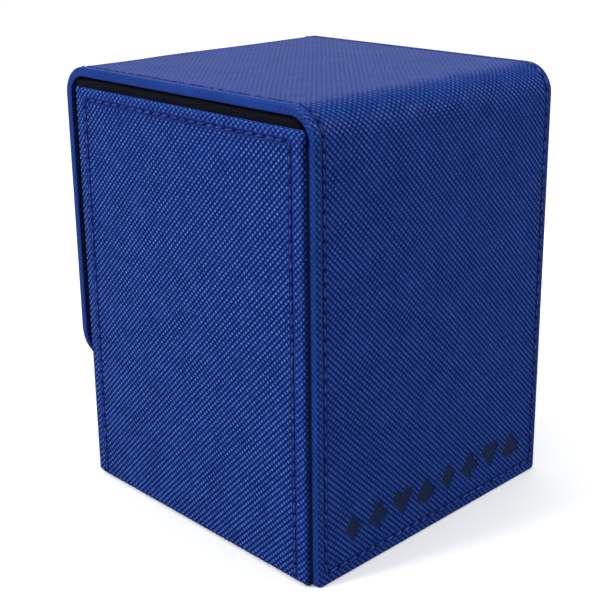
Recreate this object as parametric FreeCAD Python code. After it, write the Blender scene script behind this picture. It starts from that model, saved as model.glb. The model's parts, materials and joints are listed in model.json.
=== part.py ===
import FreeCAD, Part
import math
import os

os.makedirs("parts", exist_ok=True)

# A deck box for sleeved trading cards. A rigid board tray, lined with black microfibre, stands
# inside a wrap-around cover of leatherette over thin board: back panel, top fold, lid, front
# fold and magnetic flap in one strip. All lengths are in millimetres.
# The origin is the centre of the base on the table. +Z is up, the flap faces -Y, the back panel
# faces +Y, and the tray's leatherette side panels face +X and -X.

# Overall sizes
HEIGHT = 104.0
DEPTH = 84.6
COVER_WIDTH = 78.0
BOX_WIDTH = 78.2
PANEL_WIDTH = 81.2

# Cover: a leatherette skin turned in over board, with a microfibre lining stitched inside
SKIN = 0.9
TURN_IN = 0.8
COVER_EDGE = 2.2
COVER_LINING = 0.5
LINING_INSET = 1.0
FOLD_RADIUS = 7.0
HINGE_GAP = 0.3
EDGE_ROUND = 0.6
FLAP_BOTTOM = 25.0
FLAP_CORNER = 13.0

# Tray: board walls, lined inside and over the rim
TRAY_FRONT = -37.0
WALL = 2.0
BACK_WALL = 1.8
FLOOR = 2.15
LINING = 0.6
WRAP = 0.85
RIM_LEG = 0.5
RIM_HEIGHT = 101.0
BACK_RIM_HEIGHT = 96.8
RIM_CORNER = 2.5
FACING_RETURN = 2.0

# Leatherette side panels, stitched round a thin board and glued to the tray
PANEL_TOP = 99.6
PANEL_FRONT = -34.8
PANEL_REAR = 40.0
PANEL_SKIN = 0.75
PANEL_BOTTOM_ROUND = 1.5

# Seams
SEAM_WIDTH = 0.6
SEAM_DEPTH = 0.3
THREAD_WIDTH = 0.5
THREAD_PROUD = 0.12
COVER_SEAM_INSET = 2.1
BACK_SEAM_BOTTOM_INSET = 3.0
COVER_SEAM_CORNER = 1.2
PANEL_SEAM_INSET = 2.5
PANEL_SEAM_REAR_INSET = 3.4

# Closure magnets
MAGNET_RADIUS = 5.0
MAGNET_SPACING = 44.0
MAGNET_HEIGHT = 36.0
FLAP_MAGNET_THICKNESS = 1.1
TRAY_MAGNET_THICKNESS = 1.5

# Row of debossed card suits near the foot of the back panel
SUIT_SIZE = 7.0
SUIT_PITCH = 8.1
SUIT_CENTRE_HEIGHT = 10.4
SUIT_DEPTH = 0.25

# Glue lines, fitting clearance, and how far a cutting solid overshoots the face it cuts
GLUE = 0.05
CLEARANCE = 0.1
OVERCUT = 1.0
TOLERANCE = 0.001

# Derived places
BACK = DEPTH / 2
FRONT = -DEPTH / 2
COVER_HALF = COVER_WIDTH / 2
BOX_HALF = BOX_WIDTH / 2
PANEL_HALF = PANEL_WIDTH / 2
CORE_HALF = COVER_HALF - TURN_IN - GLUE
LINING_HALF = COVER_HALF - LINING_INSET
FOLD_HEIGHT = HEIGHT - FOLD_RADIUS
REAR_FOLD = BACK - FOLD_RADIUS
FRONT_FOLD = FRONT + FOLD_RADIUS
FOLD_INNER = FOLD_RADIUS - COVER_EDGE
FOLD_CORE_OUTER = FOLD_RADIUS - SKIN
FLOOR_TOP = WRAP + FLOOR
CAVITY_HALF = BOX_HALF - WALL - LINING
FRONT_BOARD_OUTER = TRAY_FRONT + SKIN
FRONT_BOARD_INNER = FRONT_BOARD_OUTER + WALL
REAR_WALL_OUTER = BACK - COVER_EDGE - 2 * GLUE
REAR_WALL_INNER = REAR_WALL_OUTER - BACK_WALL
BOARD_TOP = RIM_HEIGHT - LINING
PANEL_BOARD_OUTER = PANEL_HALF - PANEL_SKIN


def block(x_span, y_span, z_span):
    size = [high - low for low, high in (x_span, y_span, z_span)]
    corner = FreeCAD.Vector(x_span[0], y_span[0], z_span[0])
    return Part.makeBox(size[0], size[1], size[2], corner)


def centred(half_width):
    return (-half_width, half_width)


def on_side(side, near, far):
    """X span from near to far on the left (-1) or right (+1) of the box."""
    return tuple(sorted((side * near, side * far)))


def fuse_all(shapes):
    result = shapes[0]
    for shape in shapes[1:]:
        result = result.fuse(shape)
    return result.removeSplitter()


def prism(points, direction):
    """Solid from a closed outline of 3-D points, swept along a vector."""
    outline = [FreeCAD.Vector(*point) for point in points]
    outline.append(outline[0])
    return Part.Face(Part.makePolygon(outline)).extrude(FreeCAD.Vector(*direction))


def round_edges(shape, radius, belongs):
    """Fillet every edge whose two ends and middle all satisfy belongs(point)."""
    chosen = []
    for edge in shape.Edges:
        middle = edge.valueAt((edge.FirstParameter + edge.LastParameter) / 2)
        points = [vertex.Point for vertex in edge.Vertexes] + [middle]
        if all(belongs(point) for point in points):
            chosen.append(edge)
    return shape.makeFillet(radius, chosen)


def near(value, target):
    return abs(value - target) < TOLERANCE


def fold_ring(side, inner, outer, x_span):
    """Quarter ring round the rear (+1) or front (-1) fold, from the panel up to the lid."""
    centre_y = REAR_FOLD if side > 0 else FRONT_FOLD
    start = FreeCAD.Vector(x_span[0], centre_y, FOLD_HEIGHT)
    length = x_span[1] - x_span[0]
    along = FreeCAD.Vector(1, 0, 0)
    ring = Part.makeCylinder(outer, length, start, along)
    ring = ring.cut(Part.makeCylinder(inner, length, start, along))
    y_span = tuple(sorted((centre_y, centre_y + side * outer)))
    return ring.common(block(x_span, y_span, (FOLD_HEIGHT, FOLD_HEIGHT + outer)))


def bib(half_width, bottom, top, corner, y_span):
    """Upright slab with square upper corners and round lower corners."""
    slab = block(centred(half_width), y_span, (bottom, top))
    if corner <= 0:
        return slab

    def lower_corner(point):
        return near(abs(point.x), half_width) and near(point.z, bottom)

    return round_edges(slab, corner, lower_corner)


def bib_band(width, bottom, top, corner, y_span):
    """U-shaped seam band of the given width, centred on a bottom line and a corner radius."""
    half = width / 2
    middle = COVER_HALF - COVER_SEAM_INSET
    outer = bib(middle + half, bottom - half, top, corner + half, y_span)
    inner = bib(middle - half, bottom + half, top, corner - half, y_span)
    return outer.cut(inner)


def seam(width, shape_of):
    """Both side runs of a straight cover seam, each made by shape_of(x_span)."""
    runs = []
    for side in (-1, 1):
        middle = side * (COVER_HALF - COVER_SEAM_INSET)
        runs.append(shape_of((middle - width / 2, middle + width / 2)))
    return runs


# ---- tray boards ----

def base_board():
    return block(centred(BOX_HALF), (FRONT_BOARD_OUTER, REAR_WALL_OUTER), (WRAP, FLOOR_TOP))


def side_outline(side, offset, x_near, x_far, bottom):
    """Side wall slab with its top rear corner rounded to clear the cover's fold."""
    rear = REAR_WALL_INNER + offset
    top = BOARD_TOP + offset
    slab = block(on_side(side, x_near, x_far), (FRONT_BOARD_INNER, rear), (bottom, top))

    def top_rear(point):
        return near(point.y, rear) and near(point.z, top)

    return round_edges(slab, RIM_CORNER + offset, top_rear)


def side_board(side):
    return side_outline(side, 0.0, BOX_HALF - WALL, BOX_HALF, FLOOR_TOP)


def magnet_discs(y_start, thickness):
    discs = []
    for side in (-1, 1):
        centre = FreeCAD.Vector(side * MAGNET_SPACING / 2, y_start, MAGNET_HEIGHT)
        discs.append(Part.makeCylinder(MAGNET_RADIUS, thickness, centre, FreeCAD.Vector(0, 1, 0)))
    return discs


def tray_magnets():
    return Part.Compound(magnet_discs(FRONT_BOARD_OUTER, TRAY_MAGNET_THICKNESS))


def front_board():
    y_span = (FRONT_BOARD_OUTER, FRONT_BOARD_INNER)
    board = block(centred(BOX_HALF), y_span, (FLOOR_TOP, BOARD_TOP))
    for disc in magnet_discs(FRONT_BOARD_OUTER, TRAY_MAGNET_THICKNESS):
        board = board.cut(disc)
    return board


def back_board():
    y_span = (REAR_WALL_INNER, REAR_WALL_OUTER)
    return block(centred(BOX_HALF), y_span, (FLOOR_TOP, BACK_RIM_HEIGHT - LINING))


# ---- microfibre lining ----

def base_lining():
    y_span = (FRONT_BOARD_INNER + LINING + CLEARANCE, REAR_WALL_INNER - LINING - CLEARANCE)
    return block(centred(CAVITY_HALF - CLEARANCE), y_span, (FLOOR_TOP, FLOOR_TOP + LINING))


def side_lining(side):
    """Sheet inside a side wall, turned over the rim and down to the side panel's top."""
    inner = CAVITY_HALF
    outer = BOX_HALF + RIM_LEG
    hood = side_outline(side, LINING, inner, outer, BACK_RIM_HEIGHT + CLEARANCE)
    hood = hood.cut(side_outline(side, 0.0, BOX_HALF - WALL, BOX_HALF, FLOOR_TOP))
    below_leg = (FLOOR_TOP, PANEL_TOP + CLEARANCE)
    beside_panel = block(on_side(side, BOX_HALF, outer), (TRAY_FRONT, BACK), below_leg)
    hood = hood.cut(beside_panel)
    sheet_bottom = FLOOR_TOP + LINING + CLEARANCE
    sheet_y = (FRONT_BOARD_INNER, REAR_WALL_INNER - CLEARANCE)
    sheet = block(on_side(side, inner, BOX_HALF - WALL), sheet_y, (sheet_bottom, FOLD_HEIGHT))
    return fuse_all([hood, sheet])


def front_lining():
    """Sheet inside the front wall, turned over the rim and down to the facing's top."""
    inner_face = FRONT_BOARD_INNER + LINING
    outer_face = FRONT_BOARD_OUTER - RIM_LEG
    hood_x = centred(BOX_HALF + RIM_LEG)
    hood = block(hood_x, (outer_face, FRONT_BOARD_INNER), (PANEL_TOP + CLEARANCE, RIM_HEIGHT))

    def top_front(point):
        return near(point.y, outer_face) and near(point.z, RIM_HEIGHT)

    hood = round_edges(hood, RIM_LEG, top_front)
    board_y = (FRONT_BOARD_OUTER, FRONT_BOARD_INNER)
    hood = hood.cut(block(centred(BOX_HALF), board_y, (FLOOR_TOP, BOARD_TOP)))
    sheet_z = (FLOOR_TOP + LINING + CLEARANCE, RIM_HEIGHT)
    sheet = block(centred(CAVITY_HALF - CLEARANCE), (FRONT_BOARD_INNER, inner_face), sheet_z)
    return fuse_all([hood, sheet])


def back_lining():
    """Sheet inside the back wall, turned over its rim to the cover's back panel."""
    sheet_y = (REAR_WALL_INNER - LINING, REAR_WALL_INNER)
    sheet_z = (FLOOR_TOP + LINING + CLEARANCE, BACK_RIM_HEIGHT)
    sheet = block(centred(CAVITY_HALF - CLEARANCE), sheet_y, sheet_z)
    cap_z = (BACK_RIM_HEIGHT - LINING, BACK_RIM_HEIGHT)
    cap = block(centred(BOX_HALF), (REAR_WALL_INNER, REAR_WALL_OUTER), cap_z)
    return fuse_all([sheet, cap])


# ---- tray leatherette ----

def front_facing():
    """Leatherette on the front wall, turned round both corners and under the base."""
    half = BOX_HALF + TURN_IN
    rear = TRAY_FRONT + FACING_RETURN
    facing = block(centred(half), (TRAY_FRONT, rear), (0.0, PANEL_TOP))

    def outer_upright(point):
        return near(abs(point.x), half) and near(point.y, TRAY_FRONT)

    facing = round_edges(facing, EDGE_ROUND, outer_upright)
    return facing.cut(block(centred(BOX_HALF), (FRONT_BOARD_OUTER, rear), (WRAP, PANEL_TOP)))


def panel_board(side):
    y_span = (PANEL_FRONT + PANEL_SKIN, PANEL_REAR - PANEL_SKIN)
    z_span = (WRAP, PANEL_TOP - PANEL_SKIN)
    return block(on_side(side, BOX_HALF, PANEL_BOARD_OUTER), y_span, z_span)


def panel_seam(side, width, x_near, x_far):
    """Inverted U up the front, along the top and down the rear of a side panel."""
    half = width / 2
    front = PANEL_FRONT + PANEL_SEAM_INSET
    rear = PANEL_REAR - PANEL_SEAM_REAR_INSET
    top = PANEL_TOP - PANEL_SEAM_INSET
    bottom = PANEL_BOTTOM_ROUND
    x_span = on_side(side, x_near, x_far)
    outer = block(x_span, (front - half, rear + half), (bottom, top + half))
    inner = block(x_span, (front + half, rear - half), (bottom, top - half))
    return outer.cut(inner)


def panel_thread(side):
    return panel_seam(side, THREAD_WIDTH, PANEL_HALF - SEAM_DEPTH, PANEL_HALF + THREAD_PROUD)


def side_wrap():
    """One leatherette piece: side panel, under the base, and up the other side panel."""
    wrap = block(centred(PANEL_HALF), (PANEL_FRONT, PANEL_REAR), (0.0, PANEL_TOP))

    def bottom_side(point):
        return near(abs(point.x), PANEL_HALF) and near(point.z, 0.0)

    def panel_rim(point):
        if not near(abs(point.x), PANEL_HALF):
            return False
        at_end = near(point.y, PANEL_FRONT) or near(point.y, PANEL_REAR)
        return near(point.z, PANEL_TOP) or (at_end and point.z > PANEL_BOTTOM_ROUND - TOLERANCE)

    wrap = round_edges(wrap, PANEL_BOTTOM_ROUND, bottom_side)
    wrap = round_edges(wrap, EDGE_ROUND, panel_rim)
    wrap = wrap.cut(block(centred(BOX_HALF), (PANEL_FRONT, PANEL_REAR), (WRAP, PANEL_TOP)))
    for side in (-1, 1):
        wrap = wrap.cut(panel_board(side))
        groove_floor = PANEL_HALF - SEAM_DEPTH
        wrap = wrap.cut(panel_seam(side, SEAM_WIDTH, groove_floor, PANEL_HALF + OVERCUT))
    return wrap


# ---- cover: back panel and rear fold ----

def suit_disc(x, z, radius):
    start = FreeCAD.Vector(x, BACK - SUIT_DEPTH, z)
    return Part.makeCylinder(radius, OVERCUT, start, FreeCAD.Vector(0, 1, 0))


def suit_wedge(x, z, corners):
    """Pocket cutter with its corners given in suit sizes from the suit's centre."""
    points = [(x + across * SUIT_SIZE, BACK - SUIT_DEPTH, z + up * SUIT_SIZE)
              for across, up in corners]
    return prism(points, (0, OVERCUT, 0))


def diamond(x, z):
    return suit_wedge(x, z, [(0, 0.5), (0.36, 0), (0, -0.5), (-0.36, 0)])


def heart(x, z, up=1):
    """Heart, or with up=-1 the upside-down heart of a spade."""
    lobes = [suit_disc(x + side * 0.22 * SUIT_SIZE, z + up * 0.2 * SUIT_SIZE, 0.24 * SUIT_SIZE)
             for side in (-1, 1)]
    tip = [(-0.42, up * 0.07), (0, up * -0.48), (0.42, up * 0.07), (0, up * 0.3)]
    return fuse_all(lobes + [suit_wedge(x, z, tip)])


def stem(x, z):
    return suit_wedge(x, z, [(0, 0.1), (0.15, -0.5), (-0.15, -0.5)])


def spade(x, z):
    return fuse_all([heart(x, z, -1), stem(x, z)])


def club(x, z):
    places = [(0, 0.26), (-0.23, -0.08), (0.23, -0.08)]
    leaves = [suit_disc(x + across * SUIT_SIZE, z + up * SUIT_SIZE, 0.21 * SUIT_SIZE)
              for across, up in places]
    return fuse_all(leaves + [stem(x, z)])


def suit_row():
    """Eight pockets: the four suits, twice, centred across the back panel."""
    makers = [spade, heart, club, diamond] * 2
    first = -SUIT_PITCH * (len(makers) - 1) / 2
    return [maker(first + index * SUIT_PITCH, SUIT_CENTRE_HEIGHT)
            for index, maker in enumerate(makers)]


def back_panel_skin():
    inner_face = BACK - COVER_EDGE
    skin = block(centred(COVER_HALF), (inner_face, BACK), (0.0, FOLD_HEIGHT))

    def outer_rim(point):
        return near(point.y, BACK) and (near(abs(point.x), COVER_HALF) or near(point.z, 0.0))

    skin = round_edges(skin, EDGE_ROUND, outer_rim)
    pocket_x = centred(COVER_HALF - TURN_IN)
    skin = skin.cut(block(pocket_x, (inner_face, BACK - SKIN), (TURN_IN, FOLD_HEIGHT)))
    skin = skin.cut(back_seam(SEAM_WIDTH, BACK - SEAM_DEPTH, BACK + OVERCUT))
    for pocket in suit_row():
        skin = skin.cut(pocket)
    return skin


def back_seam(width, y_near, y_far):
    return bib_band(width, BACK_SEAM_BOTTOM_INSET, FOLD_HEIGHT, COVER_SEAM_CORNER, (y_near, y_far))


def back_panel_board():
    y_span = (BACK - COVER_EDGE + GLUE, BACK - SKIN)
    return block(centred(CORE_HALF), y_span, (TURN_IN + GLUE, FOLD_HEIGHT))


def fold_skin(side):
    """Leatherette round a fold, with both edges turned in."""
    inner_half = COVER_HALF - TURN_IN
    skin = fold_ring(side, FOLD_INNER, FOLD_RADIUS, centred(COVER_HALF))

    def outer_rim(point):
        centre_y = REAR_FOLD if side > 0 else FRONT_FOLD
        reach = math.hypot(point.y - centre_y, point.z - FOLD_HEIGHT)
        return near(abs(point.x), COVER_HALF) and near(reach, FOLD_RADIUS)

    skin = round_edges(skin, EDGE_ROUND, outer_rim)
    skin = skin.cut(fold_ring(side, FOLD_INNER, FOLD_CORE_OUTER, centred(inner_half)))
    for groove in seam(SEAM_WIDTH, lambda span: fold_groove(side, span)):
        skin = skin.cut(groove)
    return skin


def fold_groove(side, x_span):
    return fold_ring(side, FOLD_RADIUS - SEAM_DEPTH, FOLD_RADIUS + OVERCUT, x_span)


def fold_core(side):
    return fold_ring(side, FOLD_INNER, FOLD_CORE_OUTER, centred(CORE_HALF))


def fold_lining(side):
    return fold_ring(side, FOLD_INNER - COVER_LINING, FOLD_INNER, centred(LINING_HALF))


def fold_thread(side):
    inner = FOLD_RADIUS - SEAM_DEPTH
    outer = FOLD_RADIUS + THREAD_PROUD
    return seam(THREAD_WIDTH, lambda span: fold_ring(side, inner, outer, span))


def back_thread():
    band = back_seam(THREAD_WIDTH, BACK - SEAM_DEPTH, BACK + THREAD_PROUD)
    return fuse_all([band] + fold_thread(1))


# ---- cover: lid and front fold ----

LID_Y = (FRONT_FOLD, REAR_FOLD - HINGE_GAP)
LID_UNDERSIDE = HEIGHT - COVER_EDGE


def lid_skin():
    skin = block(centred(COVER_HALF), LID_Y, (LID_UNDERSIDE, HEIGHT))

    def outer_rim(point):
        return near(abs(point.x), COVER_HALF) and near(point.z, HEIGHT)

    skin = round_edges(skin, EDGE_ROUND, outer_rim)
    pocket_z = (LID_UNDERSIDE, HEIGHT - SKIN)
    skin = skin.cut(block(centred(COVER_HALF - TURN_IN), LID_Y, pocket_z))
    groove_z = (HEIGHT - SEAM_DEPTH, HEIGHT + OVERCUT)
    for groove in seam(SEAM_WIDTH, lambda span: block(span, LID_Y, groove_z)):
        skin = skin.cut(groove)
    return skin


def lid_board():
    return block(centred(CORE_HALF), LID_Y, (LID_UNDERSIDE + GLUE, HEIGHT - SKIN))


def lid_lining():
    return block(centred(LINING_HALF), LID_Y, (LID_UNDERSIDE - COVER_LINING, LID_UNDERSIDE))


def lid_thread():
    z_span = (HEIGHT - SEAM_DEPTH, HEIGHT + THREAD_PROUD)
    runs = seam(THREAD_WIDTH, lambda span: block(span, LID_Y, z_span))
    pieces = [run.fuse(turn).removeSplitter() for run, turn in zip(runs, fold_thread(-1))]
    return Part.Compound(pieces)


# ---- cover: flap ----

FLAP_TOP = FOLD_HEIGHT - HINGE_GAP
FLAP_INNER = FRONT + COVER_EDGE


def flap_skin():
    skin = bib(COVER_HALF, FLAP_BOTTOM, FLAP_TOP, FLAP_CORNER, (FRONT, FLAP_INNER))

    def outer_rim(point):
        below_top = not near(point.z, FLAP_TOP)
        return near(point.y, FRONT) and (below_top or near(abs(point.x), COVER_HALF))

    skin = round_edges(skin, EDGE_ROUND, outer_rim)
    pocket = bib(COVER_HALF - TURN_IN, FLAP_BOTTOM + TURN_IN, FLAP_TOP,
                 FLAP_CORNER - TURN_IN, (FRONT + SKIN, FLAP_INNER))
    return skin.cut(pocket).cut(flap_seam(SEAM_WIDTH, FRONT - OVERCUT, FRONT + SEAM_DEPTH))


def flap_seam(width, y_near, y_far):
    return bib_band(width, FLAP_BOTTOM + COVER_SEAM_INSET, FLAP_TOP,
                    FLAP_CORNER - COVER_SEAM_INSET, (y_near, y_far))


def flap_board():
    inset = TURN_IN + GLUE
    board = bib(CORE_HALF, FLAP_BOTTOM + inset, FLAP_TOP, FLAP_CORNER - inset,
                (FRONT + SKIN, FLAP_INNER - GLUE))
    for disc in magnet_discs(FLAP_INNER - GLUE - FLAP_MAGNET_THICKNESS, FLAP_MAGNET_THICKNESS):
        board = board.cut(disc)
    return board


def flap_magnets():
    return Part.Compound(magnet_discs(FLAP_INNER - GLUE - FLAP_MAGNET_THICKNESS,
                                      FLAP_MAGNET_THICKNESS))


def flap_lining():
    return bib(LINING_HALF, FLAP_BOTTOM + LINING_INSET, FLAP_TOP, FLAP_CORNER - LINING_INSET,
               (FLAP_INNER, FLAP_INNER + COVER_LINING))


def flap_thread():
    return flap_seam(THREAD_WIDTH, FRONT - THREAD_PROUD, FRONT + SEAM_DEPTH)


NODES = {
    "tray_base_board": base_board(),
    "tray_left_board": side_board(-1),
    "tray_right_board": side_board(1),
    "tray_front_board": front_board(),
    "tray_back_board": back_board(),
    "tray_magnets": tray_magnets(),
    "base_lining": base_lining(),
    "left_lining": side_lining(-1),
    "right_lining": side_lining(1),
    "front_lining": front_lining(),
    "back_lining": back_lining(),
    "front_facing": front_facing(),
    "side_wrap": side_wrap(),
    "left_panel_board": panel_board(-1),
    "right_panel_board": panel_board(1),
    "left_panel_thread": panel_thread(-1),
    "right_panel_thread": panel_thread(1),
    "back_panel_skin": back_panel_skin(),
    "back_panel_board": back_panel_board(),
    "back_thread": back_thread(),
    "rear_fold_skin": fold_skin(1),
    "rear_fold_core": fold_core(1),
    "rear_fold_lining": fold_lining(1),
    "lid_skin": lid_skin(),
    "lid_board": lid_board(),
    "lid_lining": lid_lining(),
    "lid_thread": lid_thread(),
    "front_fold_skin": fold_skin(-1),
    "front_fold_core": fold_core(-1),
    "front_fold_lining": fold_lining(-1),
    "flap_skin": flap_skin(),
    "flap_board": flap_board(),
    "flap_lining": flap_lining(),
    "flap_magnets": flap_magnets(),
    "flap_thread": flap_thread(),
}

for name, shape in NODES.items():
    shape.exportStep(f"parts/{name}.step")
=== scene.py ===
import json
import math

import bmesh
import bpy
import numpy as np
from mathutils import Matrix, Vector


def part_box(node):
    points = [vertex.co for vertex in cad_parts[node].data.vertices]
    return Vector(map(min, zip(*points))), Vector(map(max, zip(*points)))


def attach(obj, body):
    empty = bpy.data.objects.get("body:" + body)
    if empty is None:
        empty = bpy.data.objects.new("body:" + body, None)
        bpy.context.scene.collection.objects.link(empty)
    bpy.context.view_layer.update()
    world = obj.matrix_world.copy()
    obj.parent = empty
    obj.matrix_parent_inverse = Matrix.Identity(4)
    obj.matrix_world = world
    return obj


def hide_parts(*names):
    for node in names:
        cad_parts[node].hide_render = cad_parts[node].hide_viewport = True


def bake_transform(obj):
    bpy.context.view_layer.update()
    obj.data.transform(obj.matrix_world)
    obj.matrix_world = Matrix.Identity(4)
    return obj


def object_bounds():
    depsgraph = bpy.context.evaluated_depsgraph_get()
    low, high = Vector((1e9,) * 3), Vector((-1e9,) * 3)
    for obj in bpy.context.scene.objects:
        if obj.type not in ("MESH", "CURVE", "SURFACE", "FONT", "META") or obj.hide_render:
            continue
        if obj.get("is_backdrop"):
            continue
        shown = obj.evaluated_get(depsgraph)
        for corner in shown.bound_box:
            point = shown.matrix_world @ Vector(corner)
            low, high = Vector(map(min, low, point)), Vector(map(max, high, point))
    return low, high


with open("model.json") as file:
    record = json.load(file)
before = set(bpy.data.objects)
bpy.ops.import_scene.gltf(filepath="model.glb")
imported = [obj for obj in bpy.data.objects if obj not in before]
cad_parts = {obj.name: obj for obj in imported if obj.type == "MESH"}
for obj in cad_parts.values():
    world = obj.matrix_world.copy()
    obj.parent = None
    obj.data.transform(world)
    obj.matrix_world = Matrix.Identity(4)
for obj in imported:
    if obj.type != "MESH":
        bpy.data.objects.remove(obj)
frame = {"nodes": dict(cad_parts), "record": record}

# The looks of a leatherette deck box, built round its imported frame. Lengths below are in
# millimetres and angles in radians, unless a name says otherwise; meshes are written in metres.
MM = 0.001
QUARTER = math.pi / 2
CREASE_ANGLE = 1.1
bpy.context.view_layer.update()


def box_mm(node):
    low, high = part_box(node)
    return low / MM, high / MM


# Leatherette grain: two families of pressed grooves at 45 degrees to the sheet, with the pitch
# measured along the sheet's edge. The meshes have GRID as their step: four steps to a groove.
GRID = 0.36792
GRAIN_PITCH = 4 * GRID
GRAIN_DEPTH = 0.14
CROSS_SHARE = 0.5

# A sheet's edge: rolled over with EDGE_ROUND, turned under with UNDER_ROUND, with a lip behind it
# if the sheet is hollow, and with a share EDGE_GRAIN of the grain left on the rolled part
EDGE_ROUND = 0.6
UNDER_ROUND = 0.25
LIP = 0.8
EDGE_GRAIN = 0.5
ROLL_STEPS = 4
UNDER_STEPS = 2

# Seams: a pressed groove with a low welt on each side, and a painted shadow a little wider than it.
# Close to a seam the mesh has extra lines at SEAM_LINES from it, and none of its own in SEAM_REACH.
STITCH_PITCH = 3.0
THREAD_RADIUS = 0.24
SEAM_DEPTH = 0.32
SEAM_WIDTH = 0.42
SEAM_SHADOW = 0.6
WELT_HEIGHT = 0.05
WELT_PLACE = 0.95
WELT_WIDTH = 0.45
SEAM_LINES = (-0.5, -0.3, -0.15, 0.0, 0.15, 0.3, 0.5)
SEAM_REACH = 0.65

# Slow unevenness of each sheet, which fades out between UNEVEN_FROM and UNEVEN_FULL of its edges
COVER_UNEVEN = 0.10
PANEL_UNEVEN = 0.08
FRONT_UNEVEN = 0.06
LINING_UNEVEN = 0.05
UNEVEN_FROM = 0.6
UNEVEN_FULL = 6.0

# Cover strip: from the foot of the back panel, over the lid, to the foot of the flap
BACK_LOW, BACK_HIGH = box_mm("back_panel_skin")
FOLD_LOW, FOLD_HIGH = box_mm("rear_fold_skin")
COVER_HALF = BACK_HIGH.x
BACK = BACK_HIGH.y
COVER_EDGE = BACK - BACK_LOW.y
COVER_SKIN = 0.9
COVER_SEAM_INSET = 2.1
BACK_SEAM_BOTTOM = 3.0
SEAM_CORNER = 1.2
COVER_FOOT_CORNER = 1.0
FLAP_CORNER = 13.0
RADIUS = FOLD_HIGH.z - FOLD_LOW.z
FOLD_Z = FOLD_LOW.z
FOLD_ARC = RADIUS * QUARTER
LID_HALF = BACK - RADIUS
FLAP_BOTTOM = box_mm("flap_skin")[0].z
MID_LID = FOLD_Z + FOLD_ARC + LID_HALF
STRIP = 2 * MID_LID - FLAP_BOTTOM
LINING_THICK = 0.5
LINING_HALF = box_mm("lid_lining")[1].x
LINING_SEAM_INSET = 1.1
HINGE_THICK = 0.6

# Share of the grain left on the lid, which is smoother than the rest, and in the pressed suits
LID_GRAIN = 0.38
SUIT_GRAIN = 0.15

# The back panel swells gently below its fold: by how much, how far below, and how widely
PILLOW = 0.25
PILLOW_DROP = 6.0
PILLOW_WIDTH = 9.0

# Angle from the lid for the front fold, to clear the tray's rim; across_front_fold works it into a
# point that is not used
FRONT_BEND = math.radians(62)


def strip_point(x, s, depth):
    """Place on the cover strip: s runs from the back panel's foot over the lid to the flap's."""
    from_middle = np.abs(s - MID_LID)
    side = np.where(s < MID_LID, 1.0, -1.0)
    past_lid = from_middle - LID_HALF
    angle = np.clip(past_lid / RADIUS, 0.0, QUARTER)
    reach = RADIUS - depth
    y = side * (np.minimum(from_middle, LID_HALF) + reach * np.sin(angle))
    z = FOLD_Z + reach * np.cos(angle) - np.maximum(past_lid - FOLD_ARC, 0.0)
    return np.stack([x, y, z], axis=-1)


def front_strip(x, t, depth):
    """The same, for t that runs from the flap's foot."""
    return strip_point(x, STRIP - t, depth)


# ---- meshes ----

def write_mesh(name, points, quads, polygons, flat_from, uv, layers, material):
    """Object from quads (the first flat_from of them smooth) and polygons (all flat)."""
    sizes = np.array([4] * len(quads) + [len(p) for p in polygons])
    if signed_volume(points, quads, polygons) < 0:
        quads = quads[:, ::-1]
        polygons = [p[::-1] for p in polygons]
    corners = np.concatenate([quads.ravel()] + [np.asarray(p) for p in polygons])
    starts = np.concatenate([[0], np.cumsum(sizes)[:-1]])
    mesh = bpy.data.meshes.new(name)
    mesh.vertices.add(len(points))
    mesh.vertices.foreach_set("co", (points * MM).astype(np.float32).ravel())
    mesh.loops.add(len(corners))
    mesh.loops.foreach_set("vertex_index", corners.astype(np.int32))
    mesh.polygons.add(len(sizes))
    mesh.polygons.foreach_set("loop_start", starts.astype(np.int32))
    mesh.update(calc_edges=True)
    mesh.polygons.foreach_set("use_smooth", np.arange(len(sizes)) < flat_from)
    flat = mesh.uv_layers.new(name="flat")
    flat.data.foreach_set("uv", uv[corners].astype(np.float32).ravel())
    for layer, values in layers.items():
        mesh.attributes.new(layer, "FLOAT", "POINT")
        mesh.attributes[layer].data.foreach_set("value", values.astype(np.float32))
    mesh.validate()
    mesh.set_sharp_from_angle(angle=CREASE_ANGLE)
    mesh.materials.append(material)
    obj = bpy.data.objects.new(name, mesh)
    bpy.context.scene.collection.objects.link(obj)
    return obj


def signed_volume(points, quads, polygons):
    def fan(a, b, c):
        return float(np.einsum("ij,ij->i", points[a], np.cross(points[b], points[c])).sum())

    total = fan(quads[:, 0], quads[:, 1], quads[:, 2]) + fan(quads[:, 0], quads[:, 2], quads[:, 3])
    for polygon in polygons:
        p = np.asarray(polygon)
        total += fan(np.full(len(p) - 2, p[0]), p[1:-1], p[2:])
    return total


def grid_lines(low, high, step, seams):
    """Whole multiples of step between low and high, with close lines round each seam."""
    first = math.ceil(low / step + 0.5)
    last = math.floor(high / step - 0.5)
    regular = [k * step for k in range(first, last + 1)]
    kept = [v for v in regular if all(abs(v - c) > SEAM_REACH for c in seams)]
    close = [c + d for c in seams for d in SEAM_LINES]
    return np.array(sorted([low] + kept + close + [high]))


def round_corners(a, t, half, radius):
    """Bends the square corners of a grid at t = 0 into round ones, ring by ring."""
    p = np.abs(a) - (half - radius)
    q = radius - t
    inside = (p > 0) & (q > 0)
    ring = np.where(inside, np.maximum(p, q), 1.0)
    angle = math.pi / 4 * np.where(inside, np.minimum(p, q), 0.0) / ring
    wide = p >= q
    p_new = ring * np.where(wide, np.cos(angle), np.sin(angle))
    q_new = ring * np.where(wide, np.sin(angle), np.cos(angle))
    a_new = np.where(inside, np.sign(a) * (half - radius + p_new), a)
    t_new = np.where(inside, radius - q_new, t)
    return a_new, t_new


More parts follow.
